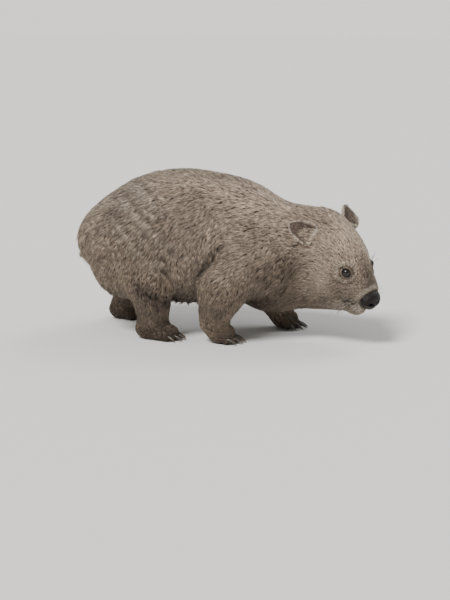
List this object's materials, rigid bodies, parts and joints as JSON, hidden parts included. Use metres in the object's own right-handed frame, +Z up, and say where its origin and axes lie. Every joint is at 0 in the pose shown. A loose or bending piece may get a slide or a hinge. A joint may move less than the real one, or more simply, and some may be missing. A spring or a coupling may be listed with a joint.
{
  "type": "wombat model",
  "caption": "Life-size still model of a walking bare-nosed wombat with short grizzled brown fur, head low and turned to its right.",
  "frame": {"origin": "on the floor, under the middle of the box round the whole animal", "axes": "+X the way the body faces, +Y to the animal's left, +Z up"},
  "size_m": [0.8162, 0.3624, 0.4265],
  "materials": {
    "coat": "short grizzled fur",
    "nose_skin": "moist, fine-grained",
    "eye": "wet, polished",
    "claw": "dull horn"
  },
  "bodies": {
    "root": {"head": "coat", "nose": "nose_skin", "ear_right": "coat", "ear_left": "coat", "eye_right": "eye", "eye_left": "eye", "neck": "coat", "torso": "coat", "tail": "coat", "foreleg_right": "coat", "forefoot_right": "coat", "foreclaw_right_1": "claw", "foreclaw_right_2": "claw", "foreclaw_right_3": "claw", "foreclaw_right_4": "claw", "foreclaw_right_5": "claw", "foreleg_left": "coat", "forefoot_left": "coat", "foreclaw_left_1": "claw", "foreclaw_left_2": "claw", "foreclaw_left_3": "claw", "foreclaw_left_4": "claw", "foreclaw_left_5": "claw", "hindleg_right": "coat", "hindfoot_right": "coat", "hindclaw_right_1": "claw", "hindclaw_right_2": "claw", "hindclaw_right_3": "claw", "hindclaw_right_4": "claw", "hindleg_left": "coat", "hindfoot_left": "coat", "hindclaw_left_1": "claw", "hindclaw_left_2": "claw", "hindclaw_left_3": "claw", "hindclaw_left_4": "claw"}
  },
  "joints": []
}
